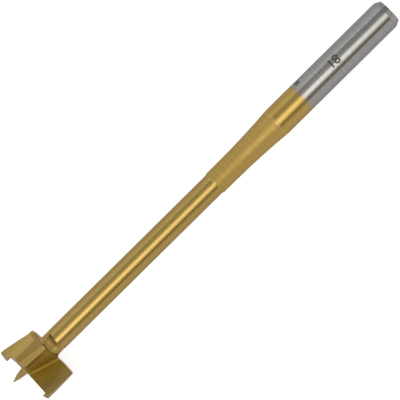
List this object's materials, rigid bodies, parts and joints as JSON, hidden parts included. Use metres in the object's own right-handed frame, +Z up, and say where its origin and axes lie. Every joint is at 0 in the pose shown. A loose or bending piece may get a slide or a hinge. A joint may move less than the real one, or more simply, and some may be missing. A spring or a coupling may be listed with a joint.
{
  "type": "wood boring bit",
  "caption": "Long wood boring bit with a winged, spurred cutting head round a centre point, a thin shaft, and a neck that flares into a round shank.",
  "frame": {"origin": "centre of the bounding box at the surface that the bit lies on", "axes": "+X along the bit from the centre point to the shank, +Z up from the surface, +Y to the side"},
  "size_m": [0.131, 0.0174, 0.0159],
  "materials": {
    "tool_steel": "gold nitride coating over ground steel, with the end of the shank left as bare ground steel"
  },
  "bodies": {
    "root": {"boring_bit": "tool_steel"}
  },
  "joints": []
}
